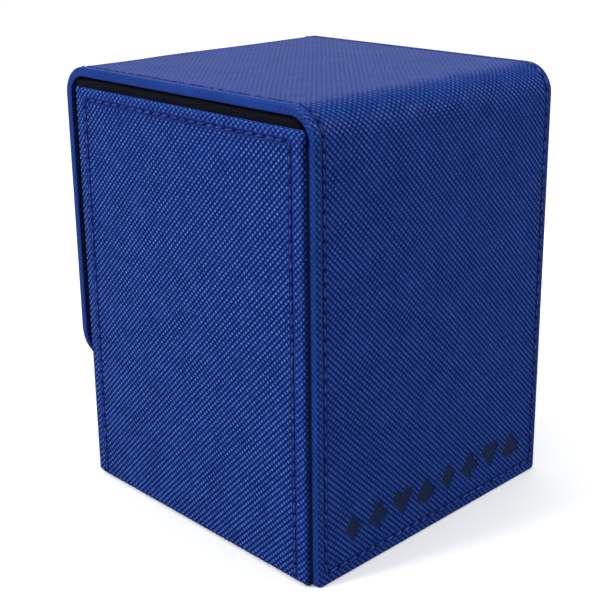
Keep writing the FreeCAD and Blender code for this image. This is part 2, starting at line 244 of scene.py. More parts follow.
def outward(a, t, half, radius):
    """Outward direction, in the sheet, at points of its edge."""
    p = np.abs(a) - (half - radius)
    q = radius - t
    corner = (p > 0) & (q > 0)
    size = np.where(corner, np.hypot(p, q), 1.0)
    on_side = t >= radius
    out_a = np.where(corner, np.sign(a) * p / size, np.where(on_side, np.sign(a), 0.0))
    out_t = np.where(corner, -q / size, np.where(on_side, 0.0, -1.0))
    return out_a, out_t


def edge_profile(edge_round, under_round, hollow):
    """Steps round a sheet's edge: (outward from the grid, depth, share of the edge's depth)."""
    steps = []
    for k in range(1, ROLL_STEPS + 1):
        angle = QUARTER * k / ROLL_STEPS
        steps.append((edge_round * math.sin(angle), edge_round * (1 - math.cos(angle)), 0.0))
    steps.append((edge_round, 0.5 * (edge_round - under_round), 0.5))
    for k in range(UNDER_STEPS + 1):
        angle = QUARTER * k / UNDER_STEPS
        out = edge_round - under_round * (1 - math.cos(angle))
        steps.append((out, under_round * (math.sin(angle) - 1), 1.0))
    if hollow:
        steps.append((edge_round - LIP, 0.0, 1.0))
    return steps


def turned_edge(a, t, half, corner, profile, edge_depth, skin):
    """Rings of points down a sheet's edge, from the grid's outline at (a, t).

    Returns their places (a, t), their depths, and their places on the sheet rolled out flat."""
    out_a, out_t = outward(a, t, half, corner)
    places, depths, flats = [], [], []
    for out, depth, share in profile:
        down = depth + share * edge_depth
        places.append(np.stack([a + out_a * out, t + out_t * out]))
        depths.append(down)
        flats.append(np.stack([a + out_a * (out + down), t + out_t * (out + down)]))
    if skin is not None:
        places.append(places[-1])
        depths.append(np.full(len(a), skin))
        flats.append(flats[-1])
    return places, depths, flats


def sheet(name, half, columns, rows, corner, edge, place, material, skin=None,
          edge_round=EDGE_ROUND, under_round=UNDER_ROUND, relief=None, flat_uv=None, layers=None):
    """Closed sheet with turned-down edges on three sides and a plain cut at its last row.

    edge(t) is the depth of its edge. With skin it is hollow behind, from skin downwards, inside
    a lip; without it, it is solid. place(a, t, depth) gives points in the object's frame."""
    t_grid, a_grid = np.meshgrid(rows, columns, indexing="ij")
    a, t = round_corners(a_grid.ravel(), t_grid.ravel(), half, corner)
    n_rows, n_cols = len(rows), len(columns)
    index = np.arange(n_rows * n_cols).reshape(n_rows, n_cols)
    height = relief(a, t) if relief else np.zeros(len(a))
    chain = np.concatenate([index[::-1, 0], index[0, 1:-1], index[:, -1]])
    profile = edge_profile(edge_round, under_round, skin is not None)
    places, depths, flats = turned_edge(a[chain], t[chain], half, corner, profile,
                                        edge(t[chain]), skin)
    grid = np.stack([a, t])
    a_all, t_all = np.concatenate([grid] + places, axis=1)
    a_flat, t_flat = np.concatenate([grid] + flats, axis=1)
    depth_all = np.concatenate([-height] + depths)

    # Faces: the grid, the edge's rings, the back from side to side, its foot, and the plain cut
    count, rings = len(chain), len(depths)
    ring = [chain] + [len(a) + k * count + np.arange(count) for k in range(rings)]
    face = [index[:-1, :-1], index[:-1, 1:], index[1:, 1:], index[1:, :-1]]
    quads = [np.stack(face, -1).reshape(-1, 4)]
    for upper, lower in zip(ring[:-1], ring[1:]):
        quads.append(np.stack([upper[1:], upper[:-1], lower[:-1], lower[1:]], -1))
    smooth_rings = rings - (2 if skin is not None else 0)
    smooth_quads = len(quads[0]) + smooth_rings * (count - 1)
    inner = ring[-1]
    left, right = inner[:n_rows][::-1], inner[-n_rows:]
    quads.append(np.stack([left[:-1], left[1:], right[1:], right[:-1]], -1))
    foot = inner[n_rows - 1:count - n_rows + 1]
    cut = np.concatenate([index[-1], [r[-1] for r in ring[1:]], [r[0] for r in ring[:0:-1]]])
    uv = flat_uv(a_flat, t_flat) if flat_uv else np.stack([a_flat, t_flat], -1)
    values = {key: make(a_all, t_all) for key, make in (layers or {}).items()}
    return write_mesh(name, place(a_all, t_all, depth_all), np.concatenate(quads), [foot, cut],
                      smooth_quads, uv, values, material)


# ---- surface detail ----

def smooth_step(value, low, high):
    x = np.clip((value - low) / (high - low), 0.0, 1.0)
    return x * x * (3 - 2 * x)


def bell(x):
    return np.exp(-x ** 2)


def off_edge(*gaps):
    """0 on the rounded edges of a sheet, 1 from half a millimetre inside them."""
    return smooth_step(np.minimum.reduce(gaps), EDGE_ROUND, EDGE_ROUND + 0.5)


def inside_edges(gap):
    """0 at a sheet's edges, 1 from UNEVEN_FULL inside them."""
    return smooth_step(gap, UNEVEN_FROM, UNEVEN_FULL)


def groove(phase):
    """Narrow groove once per turn, as a share of its depth."""
    return (0.5 + 0.5 * np.cos(2 * math.pi * phase)) ** 2


def grain(x, s):
    """Height of the pressed grain, from 0 down to -1."""
    main = groove((x - s) / GRAIN_PITCH)
    cross = groove((x + s) / GRAIN_PITCH)
    return -(main + CROSS_SHARE * cross) / (1 + CROSS_SHARE)


def waves(x, s):
    """Slow unevenness of a hand-made sheet, between about -1 and 1."""
    first = np.sin(0.093 * x + 0.7) * np.cos(0.071 * s - 0.4)
    second = 0.5 * np.sin(0.21 * x - 0.15 * s + 2.1) + 0.3 * np.cos(0.33 * s + 0.27 * x)
    return (first + second) / 1.5


class Seam:
    """A sewn U-shaped line: up one side, across the foot at t = foot, and up the other side."""

    def __init__(self, half, left, right, foot, corner, end):
        self.centre = (left - right) / 2
        self.half = half - (left + right) / 2
        self.foot = foot
        self.corner = corner
        self.end = end
        self.straight = self.half - corner
        self.bend = corner * QUARTER
        self.length = self.straight + self.bend + (end - foot - corner)
        self.count = round(self.length / STITCH_PITCH)
        self.pitch = self.length / self.count

    def columns(self):
        return [self.centre - self.half, self.centre + self.half]

    def distance(self, a, t):
        """Signed distance from the line, positive outside."""
        p = np.abs(a - self.centre) - self.straight
        q = self.foot + self.corner - t
        away = np.hypot(np.maximum(p, 0), np.maximum(q, 0))
        return away + np.minimum(np.maximum(p, q), 0) - self.corner

    def along(self, a, t):
        """Distance along the line from the middle of its foot."""
        p = np.abs(a - self.centre) - self.straight
        q = self.foot + self.corner - t
        angle = np.arctan2(np.maximum(p, 0), np.maximum(q, 1e-9))
        side = self.straight + self.bend - q
        turn = self.straight + self.corner * angle
        foot = np.abs(a - self.centre)
        return np.where(q <= 0, side, np.where(p > 0, turn, foot))

    def point(self, run, side, aside):
        """(a, t) at a distance along one side's half of the line, shifted outwards by aside."""
        turn = np.clip((run - self.straight) / self.corner, 0, QUARTER)
        up = np.maximum(run - self.straight - self.bend, 0)
        a = np.minimum(run, self.straight) + (self.corner + aside) * np.sin(turn)
        t = self.foot + self.corner - (self.corner + aside) * np.cos(turn) + up
        return self.centre + side * a, t

    def fade(self, t):
        """Ends the line softly at t = end."""
        return 1 - smooth_step(t, self.end - 0.2, self.end + 0.6)

    def holes(self, a, t, sharpness):
        """1 at the needle holes between stitches, 0 halfway along each stitch."""
        return np.cos(math.pi * self.along(a, t) / self.pitch) ** sharpness

    def relief(self, a, t):
        """Pressed groove with a puckered hole at each stitch's end, and a low welt each side."""
        away = self.distance(a, t)
        pressed = -SEAM_DEPTH * bell(away / SEAM_WIDTH) * (0.65 + 0.55 * self.holes(a, t, 8))
        welt = WELT_HEIGHT * bell((np.abs(away) - WELT_PLACE) / WELT_WIDTH)
        return (pressed + welt) * self.fade(t)

    def shadow(self, a, t):
        """Painted shade of the pressed groove: how much its colour is darkened."""
        line = bell(self.distance(a, t) / SEAM_SHADOW)
        return line * (0.7 + 0.3 * self.holes(a, t, 4)) * self.fade(t)

    def cover(self, a, t):
        """Share of the full grain left by the seam: none on it, a little outside, all inside."""
        away = self.distance(a, t)
        on_line = smooth_step(np.abs(away), 0.25, 0.9)
        outside = 1 - 0.2 * smooth_step(away, 0.0, 0.8)
        return on_line * outside


def stitches(name, seam, place, level=0.0, up=1, first=0.0):
    """Every stitch of a seam as a short, twisted, sunken length of thread.

    level is the depth of the sheet's face, up is -1 on its inner face, and stitches nearer to
    the middle of the seam's foot than first are left out."""
    around, steps = 10, 13
    two_ply, twist = 0.13, 2.2
    flattened = 0.85
    hole_gap = 0.22
    slant = 0.10
    u = np.linspace(-1, 1, steps)[:, None]
    turn = np.linspace(0, 2 * math.pi, around, endpoint=False)[None, :]
    taper = np.sqrt(np.maximum(1 - np.abs(u) ** 5, 0.02))
    radius = THREAD_RADIUS * taper * (1 + two_ply * np.cos(2 * (turn - twist * u)))
    # Deepest at both ends, where the thread goes into its holes, with a hump past the middle
    sink = 0.03 + 0.37 * np.abs(u) ** 4 - 0.12 * bell((u - 0.5) / 0.25)
    depth = level + up * (sink - radius * np.sin(turn) * flattened)
    ring = np.arange(around)
    lows = [k * around + ring for k in range(steps)]
    tube = np.concatenate([np.stack([low, np.roll(low, -1), np.roll(high, -1), high], -1)
                           for low, high in zip(lows[:-1], lows[1:])])
    faces, caps, blocks, uvs = [], [], [], []
    for side in (-1, 1):
        for k in range(seam.count):
            middle = (k + 0.5) * seam.pitch
            if middle < first:
                continue
            run = middle + u * (seam.pitch / 2 - hole_gap) + 0 * turn
            a, t = seam.point(run, side, slant * side * u + radius * np.cos(turn))
            start = len(blocks) * steps * around
            blocks.append(place(a.ravel(), t.ravel(), depth.ravel()))
            uvs.append(np.stack([run.ravel(), (turn + 0 * u).ravel()], -1))
            faces.append(tube + start)
            caps += [start + ring[::-1], start + (steps - 1) * around + ring]
    quads = np.concatenate(faces)
    obj = write_mesh(name, np.concatenate(blocks), quads, caps, len(quads),
                     np.concatenate(uvs), {}, THREAD)
    outward_faces(obj)
    return obj


def outward_faces(obj):
    """Turns the faces of each of a piece's separate parts outwards."""
    made = bmesh.new()
    made.from_mesh(obj.data)
    bmesh.ops.recalc_face_normals(made, faces=made.faces)
    made.to_mesh(obj.data)
    made.free()


# ---- materials ----

class Nodes:
    """Short helper for building one material's node tree."""

    def __init__(self, name):
        self.material = bpy.data.materials.new(name)
        self.material.use_nodes = True
        self.tree = self.material.node_tree
        self.tree.nodes.clear()
        output = self.tree.nodes.new("ShaderNodeOutputMaterial")
        self.shader = self.tree.nodes.new("ShaderNodeBsdfPrincipled")
        self.tree.links.new(self.shader.outputs[0], output.inputs["Surface"])

    def put(self, socket, value):
        if isinstance(value, bpy.types.NodeSocket):
            self.tree.links.new(value, socket)
        elif value is not None:
            socket.default_value = value

    def node(self, kind, inputs=None, output=0, **settings):
        made = self.tree.nodes.new("ShaderNode" + kind)
        for key, value in settings.items():
            setattr(made, key, value)
        for key, value in (inputs or {}).items():
            self.put(made.inputs[key], value)
        return made.outputs[output]

    def math(self, operation, first, second=None, third=None):
        return self.node("Math", {0: first, 1: second, 2: third}, operation=operation)

    def mix(self, share, first, second):
        return self.node("Mix", {0: share, 6: first, 7: second}, output=2, data_type="RGBA")

    def ramp(self, value, low, high):
        """Value taken from low..high to 0..1, held at the ends."""
        return self.node("MapRange", {"Value": value, "From Min": low, "From Max": high})

    def noise(self, vector, scale, detail=2.0, roughness=0.5):
        return self.node("TexNoise", {"Vector": vector, "Scale": scale, "Detail": detail,
                                      "Roughness": roughness})

    def bump(self, height, distance_mm, strength=1.0):
        return self.node("Bump", {"Height": height, "Distance": distance_mm * MM,
                                  "Strength": strength})

    def set(self, **values):
        for key, value in values.items():
            self.put(self.shader.inputs[key.replace("_", " ")], value)


# Colours of the painted shade along a seam's pressed line, and of the pressed suits
SEAM_SHADE_COLOUR = (0.002, 0.004, 0.065, 1)
SLATE_DARK = (0.003, 0.008, 0.030, 1)
SLATE_LIGHT = (0.008, 0.017, 0.045, 1)


def leatherette(name, deep, bright, painted_glint, contrast):
    """Satin leatherette with a crosshatch pressed grain, held by the sheet's own flat map.

    Its colour goes slowly between deep and bright. Painted shade darkens the grain's grooves, and
    each bead between them has a painted highlight of its own strength; contrast is the strength of
    both."""
    n = Nodes(name)
    flat = n.node("UVMap", uv_map="flat")
    axes = n.tree.nodes.new("ShaderNodeSeparateXYZ")
    n.put(axes.inputs[0], flat)
    across, along = axes.outputs[0], axes.outputs[1]

    def family(operation):
        """One family of grooves: (0..1 across a groove, 0..1 across a ridge, number of ridge)."""
        turns = n.math("DIVIDE", n.math(operation, across, along), GRAIN_PITCH)
        line = n.math("COSINE", n.math("MULTIPLY", turns, 2 * math.pi))
        valley = n.math("POWER", n.math("MULTIPLY_ADD", line, 0.5, 0.5), 2.5)
        return valley, n.math("MULTIPLY_ADD", line, -0.5, 0.5), n.math("FLOOR", turns)

    # Height: both families of grooves, the cross one in patches, over a fine pebble
    main, main_crest, main_row = family("SUBTRACT")
    cross, cross_crest, cross_row = family("ADD")
    patch = n.ramp(n.noise(flat, 0.16, 2.0), 0.35, 0.65)
    cross_share = n.math("MULTIPLY_ADD", patch, 0.55, 0.2)
    share = n.node("Attribute", output=2, attribute_name="grain")
    pressed = n.math("ADD", main, n.math("MULTIPLY", cross, cross_share))
    dent = n.math("MULTIPLY", pressed, share)
    pebble = n.noise(flat, 2.6, 4.0, 0.6)
    bump = n.bump(n.math("SUBTRACT", n.math("MULTIPLY", pebble, 0.5), dent), 0.13)

    # Colour: a slow tone, painted shade in the grooves, and a painted highlight on each bead and on
    # a few pebbles
    slow = n.noise(flat, 0.09, 3.0)
    body = n.mix(n.ramp(slow, 0.3, 0.7), deep, bright)
    # Painted shade: the grooves' colour is darkened towards a dark navy
    groove_shade_colour = [tone * kept for tone, kept in zip(deep, (0.15, 0.22, 0.40, 1))]
    shaded = n.mix(n.math("MULTIPLY", n.ramp(dent, 0.05, 0.9), contrast), body, groove_shade_colour)
    bead = n.node("TexWhiteNoise", {"Vector": n.node("CombineXYZ", {0: main_row, 1: cross_row})})
    # Painted highlight: a glint colour on each bead's crest, of random strength per bead
    dot = n.math("POWER", n.math("MULTIPLY", main_crest, cross_crest), 2.2)
    bead_glint_share = n.math("MULTIPLY", dot, n.math("MULTIPLY_ADD", bead, 0.75, 0.25))
    bead_glint_share = n.math("MULTIPLY", bead_glint_share, n.math("MULTIPLY", share, contrast))
    # Painted highlight: the same glint colour on a few pebbles
    fleck = n.math("MULTIPLY", n.ramp(pebble, 0.58, 0.78), 0.10)
    lit = n.mix(n.math("ADD", bead_glint_share, fleck), shaded, painted_glint)

    # The seam's dark line, a painted shade, and the pressed suits; neither line nor groove shines
    seam = n.node("Attribute", output=2, attribute_name="seam")
    press = n.node("Attribute", output=2, attribute_name="press")
    line = n.math("MULTIPLY", n.ramp(seam, 0.0, 0.8), 0.95)
    sewn = n.mix(line, lit, SEAM_SHADE_COLOUR)
    slate = n.mix(pebble, SLATE_DARK, SLATE_LIGHT)
    colour = n.mix(n.math("MULTIPLY", press, 0.9), sewn, slate)
    rough = n.math("MULTIPLY_ADD", slow, 0.12, 0.28)
    dull = n.math("MAXIMUM", n.ramp(dent, 0.0, 0.8), line)
    n.set(Base_Color=colour, Roughness=n.math("MULTIPLY_ADD", dent, 0.25, rough), Normal=bump,
          Specular_IOR_Level=n.math("MULTIPLY_ADD", dull, -0.12, 0.14))
    return n.material


def microfibre(name):
    """Black brushed microfibre: a short pile with a soft bluish sheen."""
    n = Nodes(name)
    place = n.node("TexCoord", output=3)
    fuzz = n.noise(place, 2600.0, 3.0, 0.7)
    brushed = n.noise(n.node("Mapping", {"Vector": place, "Scale": (1, 0.25, 1)}), 900.0, 3.0)
    cloud = n.noise(place, 70.0, 3.0)
    black = (0.0025, 0.0025, 0.005, 1)
    charcoal = (0.005, 0.005, 0.009, 1)
    fibre_tip = (0.015, 0.015, 0.024, 1)
    colour = n.mix(n.ramp(cloud, 0.3, 0.7), black, charcoal)
    colour = n.mix(n.math("MULTIPLY", n.ramp(fuzz, 0.5, 0.8), 0.5), colour, fibre_tip)
    height = n.math("ADD", fuzz, n.math("MULTIPLY", brushed, 0.6))
    n.set(Base_Color=colour, Roughness=n.math("MULTIPLY_ADD", cloud, 0.1, 0.85),
          Normal=n.bump(height, 0.06, 0.7), Sheen_Weight=0.04, Sheen_Roughness=0.4,
          Sheen_Tint=(0.5, 0.55, 0.8, 1), Specular_IOR_Level=0.06)
    return n.material


def thread():
    """Twisted navy sewing thread, darker than the leatherette, with light blue painted highlights
    in its colour and a blue-tinted shine.
    """
    n = Nodes("thread")
    flat = n.node("UVMap", uv_map="flat")
    strands = n.node("TexWave", {"Vector": flat, "Scale": 1.6, "Distortion": 0.4},
                     output=1, bands_direction="DIAGONAL")
    tint = n.noise(flat, 0.8, 2.0)
    navy = (0.004, 0.011, 0.13, 1)
    blue = (0.024, 0.065, 0.40, 1)
    painted_glint_blue = (0.22, 0.37, 0.95, 1)
    colour = n.mix(n.ramp(strands, 0.1, 0.9), navy, blue)
    # Painted highlight: light blue flecks in the colour stand in for glints on the twist
    colour = n.mix(n.math("MULTIPLY", n.ramp(tint, 0.5, 0.72), 0.6), colour, painted_glint_blue)
    n.set(Base_Color=colour, Roughness=n.math("MULTIPLY_ADD", tint, 0.2, 0.22),
          Normal=n.bump(strands, 0.05, 0.8), Specular_IOR_Level=0.3,
          Specular_Tint=(0.30, 0.45, 1.0, 1))
    return n.material


def chipboard(name, tone):
    """Black-dyed chipboard of one grey tone, with fibres and flecks."""
    def shade(share):
        return [c * share for c in tone] + [1]

    n = Nodes(name)
    place = n.node("TexCoord", output=3)
    fibre = n.noise(n.node("Mapping", {"Vector": place, "Scale": (1, 1, 0.3)}), 900.0, 4.0, 0.7)
    fleck = n.ramp(n.noise(place, 1500.0, 2.0), 0.62, 0.75)
    colour = n.mix(n.ramp(fibre, 0.3, 0.7), shade(0.75), shade(1))
    colour = n.mix(n.math("MULTIPLY", fleck, 0.6), colour, shade(0.35))
    n.set(Base_Color=colour, Roughness=n.math("MULTIPLY_ADD", fibre, 0.1, 0.8),
          Normal=n.bump(fibre, 0.05, 0.6))
    return n.material


def nickel():
    """Nickel-plated magnet with fine turning marks and handling haze."""
    n = Nodes("nickel")
    place = n.node("TexCoord", output=3)
    marks = n.noise(n.node("Mapping", {"Vector": place, "Scale": (1, 1, 14)}), 500.0, 3.0)
    haze = n.noise(place, 220.0, 3.0)
    n.set(Base_Color=n.mix(haze, (0.55, 0.55, 0.56, 1), (0.7, 0.69, 0.67, 1)), Metallic=1.0,
          Roughness=n.math("MULTIPLY_ADD", haze, 0.25, 0.15), Normal=n.bump(marks, 0.01, 0.5))
    return n.material


COVER_LEATHER = leatherette("cover_leatherette", deep=(0.006, 0.034, 0.215, 1),
                            bright=(0.009, 0.044, 0.265, 1), painted_glint=(0.085, 0.19, 0.55, 1),
                            contrast=0.75)
TRAY_LEATHER = leatherette("tray_leatherette", deep=(0.007, 0.040, 0.25, 1),
                           bright=(0.010, 0.052, 0.31, 1), painted_glint=(0.15, 0.30, 0.75, 1),
                           contrast=0.95)
PILE = microfibre("microfibre")
THREAD = thread()
BOARD = chipboard("chipboard", (0.035, 0.034, 0.036))
HINGE_PAPER = chipboard("hinge_paper", (0.05, 0.05, 0.055))
NICKEL = nickel()


# ---- cover ----

def suit_distance(kind, u, v):
    """Signed distance-like value of a card suit one unit tall, negative inside."""
    def disc(cu, cv, r):
        return np.hypot(u - cu, v - cv) - r

    stem = convex(u, v, [(0, 0.1), (-0.15, -0.5), (0.15, -0.5)])
    if kind == "diamond":
        return convex(u, v, [(0, 0.5), (-0.36, 0), (0, -0.5), (0.36, 0)])
    if kind == "club":
        leaves = [disc(0, 0.26, 0.21), disc(-0.23, -0.08, 0.21), disc(0.23, -0.08, 0.21)]
        return np.minimum.reduce(leaves + [stem])
    up = 1 if kind == "heart" else -1
    lobes = [disc(-0.22, up * 0.2, 0.24), disc(0.22, up * 0.2, 0.24)]
    tip = [(-0.42, up * 0.07), (0, up * -0.48), (0.42, up * 0.07), (0, up * 0.3)]
    body = np.minimum.reduce(lobes + [convex(u, v, tip if up > 0 else tip[::-1])])
    return body if kind == "heart" else np.minimum(body, stem)


def convex(u, v, corners):
    """Signed distance-like value of a convex outline given anticlockwise."""
    worst = np.full(np.shape(u), -9.0)
    for (u0, v0), (u1, v1) in zip(corners, corners[1:] + corners[:1]):
        size = math.hypot(u1 - u0, v1 - v0)
        worst = np.maximum(worst, ((u - u0) * (v1 - v0) - (v - v0) * (u1 - u0)) / size)
    return worst


# Row of suits pressed into the back panel: their size, places and depth, and the half width of
# the slope round each
SUITS = ("spade", "heart", "club", "diamond") * 2
SUIT_SIZE = 7.0
SUIT_PITCH = 8.1
SUIT_HEIGHT = 10.4
SUIT_DEPTH = 0.38
SUIT_SLOPE = 0.16


def suit_press(x, s):
    """Share pressed in by the row of suits near the back panel's foot."""
    nearest = np.full(np.shape(x), 9.0)
    for k, kind in enumerate(SUITS):
        centre = SUIT_PITCH * (k - (len(SUITS) - 1) / 2)
        value = suit_distance(kind, (x - centre) / SUIT_SIZE, (s - SUIT_HEIGHT) / SUIT_SIZE)
        nearest = np.minimum(nearest, value * SUIT_SIZE)
    return 1 - smooth_step(nearest, -SUIT_SLOPE, SUIT_SLOPE)


def cover_half(name, corner, seam, rear):
    """Half of the cover's leatherette, from its foot at t = 0 to the middle of the lid."""
    length = MID_LID if rear else STRIP - MID_LID

    def run(t):
        return t if rear else STRIP - t

    def place(a, t, depth):
        return strip_point(a, run(t), depth)

    def press(a, t):
        return suit_press(a, t) if rear else np.zeros(np.shape(a))

    def share(a, t):
        """Grain left: less on the lid and the rolled edges, little in the suits and the seam."""
        on_lid = smooth_step(LID_HALF - np.abs(run(t) - MID_LID), -6.0, 4.0)
        on_face = 1 - smooth_step(np.maximum(np.abs(a) - COVER_HALF, -t), -0.2, 0.0)
        kept = (1 - (1 - LID_GRAIN) * on_lid) * (EDGE_GRAIN + (1 - EDGE_GRAIN) * on_face)
        return seam.cover(a, t) * kept * (1 - (1 - SUIT_GRAIN) * press(a, t))

    def relief(a, t):
        s = run(t)
        inner = inside_edges(COVER_HALF - np.abs(a)) * inside_edges(t)
        uneven = COVER_UNEVEN * waves(a, s) * inner
        swell = bell((t - (FOLD_Z - PILLOW_DROP)) / PILLOW_WIDTH) if rear else 0.0
        pillow = PILLOW * inner * swell
        pressed = -SUIT_DEPTH * press(a, t)
        cut = share(a, t) * off_edge(COVER_HALF - np.abs(a), t)
        cut *= smooth_step(np.abs(s - MID_LID), GRID, 4 * GRID)  # smooth where the halves meet
        return cut * GRAIN_DEPTH * grain(a, s) + seam.relief(a, t) + uneven + pillow + pressed

    side = COVER_HALF - EDGE_ROUND
    columns = grid_lines(-side, side, GRID, seam.columns())
    rows = grid_lines(EDGE_ROUND, length, GRID, [seam.foot])
    return sheet(name, COVER_HALF, columns, rows, corner,
                 lambda t: np.full(np.shape(t), COVER_EDGE), place, COVER_LEATHER,
                 skin=COVER_SKIN, relief=relief,
                 flat_uv=lambda a, t: np.stack([a, run(t)], -1),
                 # The seam layer carries the painted shade along the seam
                 layers={"grain": share, "press": press, "seam": seam.shadow})


def fold_point(side, turn, depth):
    """Place in a fold: turn is 0 at the upright panel and a quarter circle at the lid."""
    reach = RADIUS - depth
    y = side * (LID_HALF + reach * math.cos(turn))
    return Vector((0, y, FOLD_Z + reach * math.sin(turn))) * MM


def across_rear_fold(obj, depth):
    """Bakes obj's place into its mesh; depth, how deep it lies in the cover, only goes into fold
    ends that are worked out and dropped.
    """
    fold_point(1, 0, depth)
    fold_point(1, QUARTER, depth)
    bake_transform(obj)


def across_front_fold(obj, depth):
    """Bakes obj's place into its mesh; the fold between the lid and the flap is worked out but not
    used.
    """
    fold_point(-1, FRONT_BEND, depth)
    fold_point(-1, 0, depth)
    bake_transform(obj)


REAR_SEAM = Seam(COVER_HALF, left=COVER_SEAM_INSET, right=COVER_SEAM_INSET,
                 foot=BACK_SEAM_BOTTOM, corner=SEAM_CORNER, end=MID_LID)
FRONT_SEAM = Seam(COVER_HALF, left=COVER_SEAM_INSET, right=COVER_SEAM_INSET,
                  foot=COVER_SEAM_INSET, corner=FLAP_CORNER - COVER_SEAM_INSET,
                  end=STRIP - MID_LID)


def build_cover():
    """The cover's leatherette in two halves, and its seams on the outer and the inner face."""
    rear = cover_half("rear_cover_leatherette", COVER_FOOT_CORNER, REAR_SEAM, True)
    front = cover_half("front_cover_leatherette", FLAP_CORNER, FRONT_SEAM, False)
    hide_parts("back_panel_skin", "rear_fold_skin", "lid_skin")
    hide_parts("front_fold_skin", "flap_skin")
    across_rear_fold(rear, 0.0)
    across_front_fold(front, 0.0)

    rear_thread = stitches("rear_cover_thread", REAR_SEAM, strip_point)
    front_thread = stitches("front_cover_thread", FRONT_SEAM, front_strip)
    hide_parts("back_thread", "lid_thread")
    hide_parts("flap_thread")
    across_rear_fold(rear_thread, 0.0)
    across_front_fold(front_thread, 0.0)

    inner = COVER_EDGE + LINING_THICK
    from_fold = REAR_SEAM.length - (MID_LID - FOLD_Z)
    rear_inner = stitches("rear_cover_inner_thread", REAR_SEAM, strip_point,
                          level=inner, up=-1, first=from_fold)
    front_inner = stitches("front_cover_inner_thread", FRONT_SEAM, front_strip,
                           level=inner, up=-1)
    across_rear_fold(rear_inner, inner)
    across_front_fold(front_inner, inner)


def even(low, high, step):
    return np.linspace(low, high, max(2, round((high - low) / step) + 1))


def cover_lining():
    """Microfibre inside the cover: rear fold to mid lid, and mid lid to the flap's foot."""
    visible = COVER_EDGE + LINING_THICK
    inset = COVER_HALF - LINING_HALF
    soft = 0.15
    border = 2.4
    fine, coarse, row_step = 0.3, 1.5, 0.9

    def half_lining(name, start, corner, rear):
        length = MID_LID - start if rear else STRIP - MID_LID - inset

        def run(t):
            return t + start if rear else STRIP - inset - t

        def place(a, t, depth):
            return strip_point(a, run(t), visible - depth)

        def relief(a, t):
            gap = LINING_HALF - np.abs(a)
            sewn = 0.06 * bell((gap - LINING_SEAM_INSET) / 0.4)
            return LINING_UNEVEN * waves(a, run(t)) * smooth_step(gap, 0.3, 4.0) - sewn

        side = LINING_HALF - soft
        middle = side - border
        columns = np.concatenate([even(-side, -middle, fine), even(-middle, middle, coarse)[1:-1],
                                  even(middle, side, fine)])
        rows = even(soft, length, row_step)
        return sheet(name, LINING_HALF, columns, rows, corner,
                     lambda t: np.full(np.shape(t), LINING_THICK - 0.01), place, PILE,
                     edge_round=soft, under_round=0.05, relief=relief)

    rear = half_lining("rear_lid_lining", FOLD_Z, 0.5, True)
    front = half_lining("front_lid_lining", 0.0, FLAP_CORNER - inset, False)
    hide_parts("rear_fold_lining")
    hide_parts("lid_lining", "front_fold_lining", "flap_lining")
    across_rear_fold(rear, visible - LINING_THICK / 2)
    across_front_fold(front, visible - LINING_THICK / 2)


def hinge_strip(name, node, rear):
    """Flexible backing inside a fold, between the boards."""
    half = box_mm(node)[1].x
    end_gap, skin_gap = 0.05, 0.02
    soft = 0.2
    start = FOLD_Z + end_gap
    length = FOLD_ARC - 2 * end_gap

    def place(a, t, depth):
        s = start + t if rear else 2 * MID_LID - start - t
        return strip_point(a, s, COVER_SKIN + skin_gap + depth)

    columns = even(-half + soft, half - soft, 2.0)
    rows = even(soft, length, 0.5)
    obj = sheet(name, half, columns, rows, 2 * soft,
                lambda t: np.full(np.shape(t), HINGE_THICK), place, HINGE_PAPER,
                edge_round=soft, under_round=soft / 2)
    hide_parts(node)
    across_fold = across_rear_fold if rear else across_front_fold
    across_fold(obj, COVER_SKIN + HINGE_THICK / 2)


# ---- tray leatherette ----

WRAP_LOW, WRAP_HIGH = box_mm("side_wrap")
PANEL_ROUND = 1.5
PANEL_SKIN = 0.75
PANEL_EDGE = 1.5
BASE_EDGE = 0.85
TRAY_CORNER = 0.9
PANEL_SEAM_FRONT = 2.5
PANEL_SEAM_REAR = 3.4
PANEL_SEAM_TOP = 2.5
PANEL_SEAM_CORNER = 0.5


def side_point(side, y, t, depth):
    """Place on a side panel: t runs down from its top, round the foot and under the base."""
    height, half = WRAP_HIGH.z, WRAP_HIGH.x
    upright = height - PANEL_ROUND
    past = t - upright
    angle = np.clip(past / PANEL_ROUND, 0.0, QUARTER)
    reach = PANEL_ROUND - depth
    under = np.maximum(past - PANEL_ROUND * QUARTER, 0.0)
    x = half - PANEL_ROUND + reach * np.cos(angle) - under
    z = np.where(t < upright, height - t, PANEL_ROUND - reach * np.sin(angle))
    return np.stack([side * x, y, z], axis=-1)


